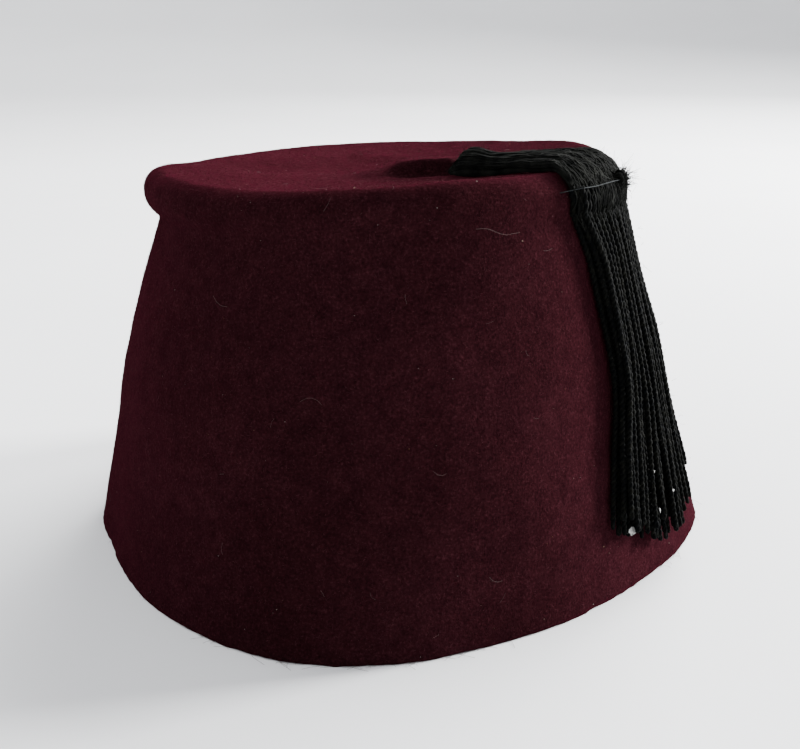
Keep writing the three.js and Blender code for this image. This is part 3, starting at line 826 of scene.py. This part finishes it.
for nap in NAPS:
    nap_material, tree, shader = new_material(nap["name"], 0.9, 0.0)
    darker, lighter = nap["tones"]
    fibre = add_ramp(tree, add_noise(tree, 900.0, 2.0), [(0.35, darker), (0.66, lighter)])
    tree.links.new(fibre, shader.inputs["Base Color"])
    roots, normals = on_felt(nap["count"])
    lengths = rng.uniform(*nap["length"], nap["count"])
    ways = rng.normal(0, 1, (nap["count"], 3))
    ways -= normals * (ways * normals).sum(1, keepdims=True)
    ways /= np.linalg.norm(ways, axis=1, keepdims=True)
    ways += normals * rng.uniform(*NAP_STANDS, (nap["count"], 1))
    fibres = spikes(nap["name"], roots - normals * NAP_ROOT, ways, lengths, nap["width"])
    fibres.data.materials.append(nap_material)
    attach(fibres, "root")

# Lint: pale specks and fine curved hairs that have settled on the felt. The larger ones lie where
# the photo shows them, as its column and row; the rest are scattered.
PHOTO_MIDDLE = (400.0, 374.5)
PHOTO_FOCAL = 1050.0
SPECK_COUNT = 230
SPECK_SIZES = (0.00006, 0.00017)
SEEN_HAIR_RADIUS = 0.00003
HAIR_COUNT = 60
HAIR_LENGTHS = (0.002, 0.006)
HAIR_RADIUS = 0.000024
HAIR_LIFT = 0.00015
SPECKS_SEEN = [
    (354.2, 188.7, 0.00042), (476.7, 182.0, 0.0003), (509.7, 144.6, 0.00025), (522.0, 241.0, 0.00026),
    (561.7, 291.9, 0.0002), (437.0, 208.0, 0.00018), (603.2, 546.6, 0.0003), (668.7, 543.0, 0.0002),
]
HAIRS_SEEN = [
    [
        (475.6, 229.2), (482.0, 228.6), (488.5, 228.9), (494.0, 231.5),
        (499.0, 233.6), (505.8, 235.2), (512.0, 233.8), (519.5, 232.5),
    ],
    [(489.0, 577.0), (492.0, 580.5), (497.0, 582.0), (502.0, 580.5)],
    [(433.0, 471.0), (437.0, 474.5), (442.0, 475.5), (446.0, 473.5)],
    [(300.0, 402.0), (306.0, 398.5), (312.0, 398.0), (318.0, 400.5), (322.0, 405.0)],
    [(214.0, 296.0), (217.0, 302.0), (222.0, 306.0), (228.0, 307.0)],
]
camera_turn = camera.rotation_euler.to_matrix()


def under_pixel(column, row, off=0.0):
    """The place on the felt that the photo shows at a column and row, and the way out of it."""
    across = (column - PHOTO_MIDDLE[0]) / PHOTO_FOCAL
    up = (PHOTO_MIDDLE[1] - row) / PHOTO_FOCAL
    ray = camera_turn @ Vector((across, up, -1.0)).normalized()
    place, normal, _, _ = crown_tree.ray_cast(camera.location, ray)
    if normal.dot(ray) > 0:
        normal = -normal
    return np.array(place + normal * off), np.array(normal)


def speck(place, size):
    """A small uneven crumb, as points and faces."""
    ring = 2 * np.pi * np.arange(6) / 6
    rows = [[0, 0, -0.5]]
    for height, reach in ((-0.25, 0.8), (0.25, 0.9)):
        rows += [[reach * np.cos(t + height), reach * np.sin(t + height), height] for t in ring]
    rows.append([0, 0, 0.5])
    points = np.array(rows) * rng.uniform(0.6, 1.2, (14, 1)) * rng.uniform(0.5, 1.0, (1, 3)) * size
    turned = np.array(Quaternion(rng.normal(size=4)).normalized().to_matrix())
    faces = []
    for k in range(6):
        n = (k + 1) % 6
        faces += [[0, 1 + n, 1 + k], [1 + k, 1 + n, 7 + n], [1 + k, 7 + n, 7 + k], [13, 7 + k, 7 + n]]
    return place + points @ turned.T, np.array(faces)


speck_points, speck_faces = [], []
settled, settled_ways = on_felt(SPECK_COUNT)
specks = [under_pixel(column, row, size * 0.3) + (size,) for column, row, size in SPECKS_SEEN]
specks += [(place, way, rng.uniform(*SPECK_SIZES)) for place, way in zip(settled, settled_ways)]
for place, way, size in specks:
    points, faces = speck(place + 0.2 * size * way, size)
    speck_faces.append(faces + 14 * len(speck_points))
    speck_points.append(points)
lint_specks = make_piece("lint_specks", np.concatenate(speck_points), [np.concatenate(speck_faces)])
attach(lint_specks, "root")
lint_material, tree, shader = new_material("pale_lint", 0.9, 0.1)
dust = add_ramp(tree, add_noise(tree, 260.0, 1.0), [
    (0.35, (0.09, 0.035, 0.016)),
    (0.5, (0.16, 0.12, 0.1)),
    (0.7, (0.3, 0.28, 0.27)),
])
tree.links.new(dust, shader.inputs["Base Color"])
lint_specks.data.materials.append(lint_material)

hair_tubes = []
for seen in HAIRS_SEEN:
    path = np.array([under_pixel(column, row, 0.0002)[0] for column, row in seen])
    fine = np.linspace(0, len(path) - 1, 4 * len(path))
    path = np.stack([np.interp(fine, np.arange(len(path)), path[:, axis]) for axis in range(3)], 1)
    hair_tubes.append(tube(relax(path, 1, 1), SEEN_HAIR_RADIUS, 3))
hair_roots, hair_ways = on_felt(HAIR_COUNT)
for root, way in zip(hair_roots, hair_ways):
    ahead = np.cross(way, rng.normal(size=3))
    ahead /= np.linalg.norm(ahead)
    beside = np.cross(way, ahead)
    length = rng.uniform(*HAIR_LENGTHS)
    t = np.linspace(0, 1, 9)[:, None]
    curl = rng.uniform(-1.4, 1.4)
    onward = ahead * np.sin(curl * t + 0.01) / (abs(curl) + 0.4)
    path = root + length * (onward + beside * (1 - np.cos(curl * t)) / 1.5)
    path = np.array([np.array(crown_tree.find_nearest(Vector(point))[0]) for point in path])
    hair_tubes.append(tube(path + way * HAIR_LIFT, HAIR_RADIUS, 3))
lint_hairs = make_tubes("lint_hairs", hair_tubes)
hair_material, tree, shader = new_material("pale_hair", 0.7, 0.2)
hair_tone = add_ramp(tree, add_noise(tree, 120.0, 1.0), [
    (0.35, (0.04, 0.016, 0.016)),
    (0.65, (0.09, 0.056, 0.054)),
])
tree.links.new(hair_tone, shader.inputs["Base Color"])
lint_hairs.data.materials.append(hair_material)

# Loose wool: the felt's edge was cut with shears and not turned in or bound, so fibres have worked
# loose from it and trail on the table, most of them at the front.
LOOSE_COUNT = 70
LOOSE_LENGTHS = (0.0012, 0.0042)
LOOSE_RADIUS = 0.00003
loose = []
for _ in range(LOOSE_COUNT):
    azimuth = rng.uniform(0, 360) if rng.random() < 0.4 else rng.uniform(235, 285)
    step = int(azimuth / 360 * ROUND_STEPS) % ROUND_STEPS
    root = outside[-1, step] + np.array([0, 0, 0.0002])
    way = outward[-1, step] * np.array([1, 1, 0])
    way /= np.linalg.norm(way)
    along_edge = np.array([-way[1], way[0], 0])
    t = np.linspace(0, 1, 7)[:, None]
    length = rng.uniform(*LOOSE_LENGTHS)
    spread = rng.normal(0, 0.8)
    path = root + length * (way * t * rng.uniform(0.2, 0.8) + along_edge * spread * t**1.4)
    path[:, 2] = 0.00012 + 0.0006 * rng.random() * np.sin(np.pi * t[:, 0] * rng.uniform(0.4, 1.0))
    loose.append(tube(path, LOOSE_RADIUS, 3))
loose_wool = make_tubes("loose_wool_at_edge", loose)
loose_wool.data.materials.append(hair_material)

# The binding: a pale thread, stitched through the felt at the front of the tassel and laid over it
# to a small knot of black floss at the back.
THREAD_FRONT = -0.0226
THREAD_LENGTH = 0.0256
THREAD_RADIUS = 0.00011
KNOT_ACROSS = 0.0028
KNOT_LIFT = 0.0047
KNOT_WRAPS = 12
WRAP_RADIUS = (0.00038, 0.0006)
FRAYED_ENDS = 170
FRAYED_LENGTHS = (0.0007, 0.002)
FRAYED_RADIUS = 0.00011
t = np.linspace(0, 1, 60)
thread_across = THREAD_FRONT + THREAD_LENGTH * t
thread_lift = 0.0002 + 0.0046 * np.clip(t / 0.14, 0, 1) ** 0.8 + 0.0002 * np.sin(9 * t)
thread_path = tassel_place(-0.0003 * (1 - t) + 0.00008 * np.sin(7 * t), thread_across, thread_lift)
thread = make_tubes("binding_thread", [tube(thread_path, THREAD_RADIUS, 8)])
thread_material, tree, shader = new_material("grey_cotton_thread", 0.8, 0.04)
cotton = add_ramp(tree, add_noise(tree, 2500.0, 2.0), [
    (0.35, (0.009, 0.0105, 0.0108)),
    (0.65, (0.022, 0.0245, 0.025)),
])
tree.links.new(cotton, shader.inputs["Base Color"])
thread.data.materials.append(thread_material)

knot_tubes = []
knot_middle = tassel_place(0.0, KNOT_ACROSS, KNOT_LIFT)
knot_out = tassel_place(0.0, KNOT_ACROSS, 0.0087) - knot_middle
knot_out /= np.linalg.norm(knot_out)
knot_along = tassel_place(0.002, KNOT_ACROSS, KNOT_LIFT) - knot_middle
knot_along /= np.linalg.norm(knot_along)
knot_beside = np.cross(knot_out, knot_along)
for _ in range(KNOT_WRAPS):
    turn = np.linspace(0, 2 * np.pi * 0.94, 26) + rng.uniform(0, 6.28)
    reach = rng.uniform(0.0002, 0.0015)
    lean = rng.normal(0, 0.7, 3)
    path = (
        knot_middle
        + np.outer(reach * np.cos(turn), knot_along * 1.5)
        + np.outer(reach * np.sin(turn), knot_out * 0.9 + knot_beside * lean[0])
        + knot_beside * rng.uniform(-0.0018, 0.0018)
        + np.outer(0.0004 * np.sin(2 * turn + lean[1]), knot_beside)
    )
    knot_tubes.append(tube(path, rng.uniform(*WRAP_RADIUS), 7))
for _ in range(FRAYED_ENDS):
    root = knot_middle + knot_beside * rng.normal(0, 0.0011) + knot_along * rng.normal(0.0002, 0.0011)
    root = root + knot_out * rng.uniform(-0.0006, 0.0012)
    way = knot_out * rng.uniform(0.1, 1.0) + knot_along * rng.normal(0.1, 0.8)
    way += knot_beside * rng.normal(0.3, 0.6)
    way /= np.linalg.norm(way)
    t = np.linspace(0, 1, 6)[:, None]
    path = root + rng.uniform(*FRAYED_LENGTHS) * (way * t + rng.normal(0, 0.5, 3) * t**2 * 0.6)
    knot_tubes.append(tube(path, FRAYED_RADIUS, 3))
knot = make_tubes("binding_knot", knot_tubes)
knot.data.materials.append(floss_material)

# Fluff: fine silk ends that have worked loose with wear. Some stand out of the knot, most lie over
# the floss, and the rest cling to the cords, each held by the bunch that it came from.
LOOSE_ENDS = 1100
KNOT_SHARE = 0.16
FLOSS_SHARE = 0.9
END_RADIUS = 0.00003
WISP_COUNT = 300
WISP_OVER = 0.0042
WISP_LENGTHS = (0.0015, 0.0048)
WISP_RADIUS = (0.00007, 0.00014)
fluff_tubes = []
for _ in range(LOOSE_ENDS):
    kind = rng.random()
    if kind < KNOT_SHARE:
        root = knot_middle + rng.normal(0, 0.0011, 3)
        way = knot_out + rng.normal(0, 0.9, 3)
        length = rng.uniform(0.001, 0.0042)
    elif kind < FLOSS_SHARE:
        place = rng.uniform(0, 0.5) if rng.random() < 0.45 else rng.uniform(0, 2)
        side = rng.uniform(-1, 1)
        root = floss_place(place, side, floss_top(side))
        way = floss_place(place, side, floss_top(side), 0.001) - root
        way = way / np.linalg.norm(way) * 0.8 + rng.normal(0, 0.7, 3)
        length = rng.uniform(0.0005, 0.0021)
    else:
        down = rng.uniform(0.0, 0.09)
        side = rng.uniform(-1, 1)
        half = TIP_RADIUS * lie_of(SKIRT_LIE, 2, down / SKIRT_LENGTH)
        root = tassel_place(down, half * side, 0.0052)
        way = tassel_place(down, half * side, 0.0062) - root
        way = way / np.linalg.norm(way) + rng.normal(0, 0.9, 3)
        length = rng.uniform(0.0006, 0.0022)
    way /= np.linalg.norm(way)
    turn_to = rng.normal(0, 0.6, 3)
    t = np.linspace(0, 1, 6)[:, None]
    path = root + length * (way * t + turn_to * t**2 * 0.5)
    fluff_tubes.append(tube(path, END_RADIUS, 3))
# Under the binding, stray floss ends lie matted over the heads of the cords.
for _ in range(WISP_COUNT):
    side = rng.uniform(-0.97, 0.97)
    down = rng.uniform(-0.001, 0.0055)
    length = rng.uniform(*WISP_LENGTHS)
    t = np.linspace(0, 1, 7)
    half = TIP_RADIUS * SKIRT_LIE[0, 2]
    sway = rng.normal(0, 0.0011) * t + 0.0003 * np.sin(6 * t + rng.uniform(0, 6.28))
    over = WISP_OVER * (1 - 0.35 * side**2) + 0.0004 * np.sin(np.pi * t) * rng.random()
    over += rng.uniform(-0.0004, 0.0004)
    path = tassel_place(down + length * t, half * side + sway, over)
    fluff_tubes.append(tube(path, rng.uniform(*WISP_RADIUS), 3))
fluff = make_tubes("silk_fluff", fluff_tubes)
fluff.data.materials.append(floss_material)

# Scraps: torn white paper and grey lint, caught between the cord ends and held by them alone. Each
# lies a way down the skirt, at a share of its half width, and a lift off the felt.
SCRAP_SIDES = 8
SCRAP_CORNERS = 2 * SCRAP_SIDES + 2
SCRAPS = [
    {"down": 0.0886, "share": -0.77, "lift": 0.0042, "size": 0.0021},
    {"down": 0.0857, "share": 0.125, "lift": 0.0054, "size": 0.0013},
    {"down": 0.0767, "share": -0.3, "lift": 0.0055, "size": 0.0008},
    {"down": 0.0874, "share": -0.25, "lift": 0.0056, "size": 0.0009},
]
scrap_points, scrap_faces = [], []
for scrap in SCRAPS:
    half = TIP_RADIUS * lie_of(SKIRT_LIE, 2, scrap["down"] / SKIRT_LENGTH)
    middle = tassel_place(scrap["down"], half * scrap["share"], scrap["lift"])
    out = tassel_place(scrap["down"], half * scrap["share"], scrap["lift"] + 0.001) - middle
    out /= np.linalg.norm(out)
    flat = np.cross(out, rng.normal(size=3))
    flat /= np.linalg.norm(flat)
    cross = np.cross(out, flat)
    turn = 2 * np.pi * np.arange(SCRAP_SIDES) / SCRAP_SIDES
    reach = scrap["size"] * rng.uniform(0.5, 1.15, SCRAP_SIDES)
    rim = middle + np.outer(reach * np.cos(turn), flat) + np.outer(0.6 * reach * np.sin(turn), cross)
    rim += np.outer(rng.uniform(-0.0003, 0.0003, SCRAP_SIDES), out)
    both = np.concatenate([rim, rim - out * 0.00012, [middle + out * 0.0001, middle - out * 0.00022]])
    start = SCRAP_CORNERS * len(scrap_points)
    top, under = start + 2 * SCRAP_SIDES, start + 2 * SCRAP_SIDES + 1
    for step in range(SCRAP_SIDES):
        k, n = start + step, start + (step + 1) % SCRAP_SIDES
        low_k, low_n = k + SCRAP_SIDES, n + SCRAP_SIDES
        scrap_faces += [[top, k, n], [under, low_n, low_k], [k, low_k, low_n], [k, low_n, n]]
    scrap_points.append(both)
scraps = make_piece("paper_scraps", np.concatenate(scrap_points), [np.array(scrap_faces)])
shade(scraps, False)
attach(scraps, "root")
scrap_material, tree, shader = new_material("torn_white_paper", 0.85, 0.2)
torn = add_ramp(tree, add_noise(tree, 1800.0, 2.0), [
    (0.35, (0.1, 0.1, 0.097)),
    (0.65, (0.22, 0.22, 0.21)),
])
tree.links.new(torn, shader.inputs["Base Color"])
scraps.data.materials.append(scrap_material)
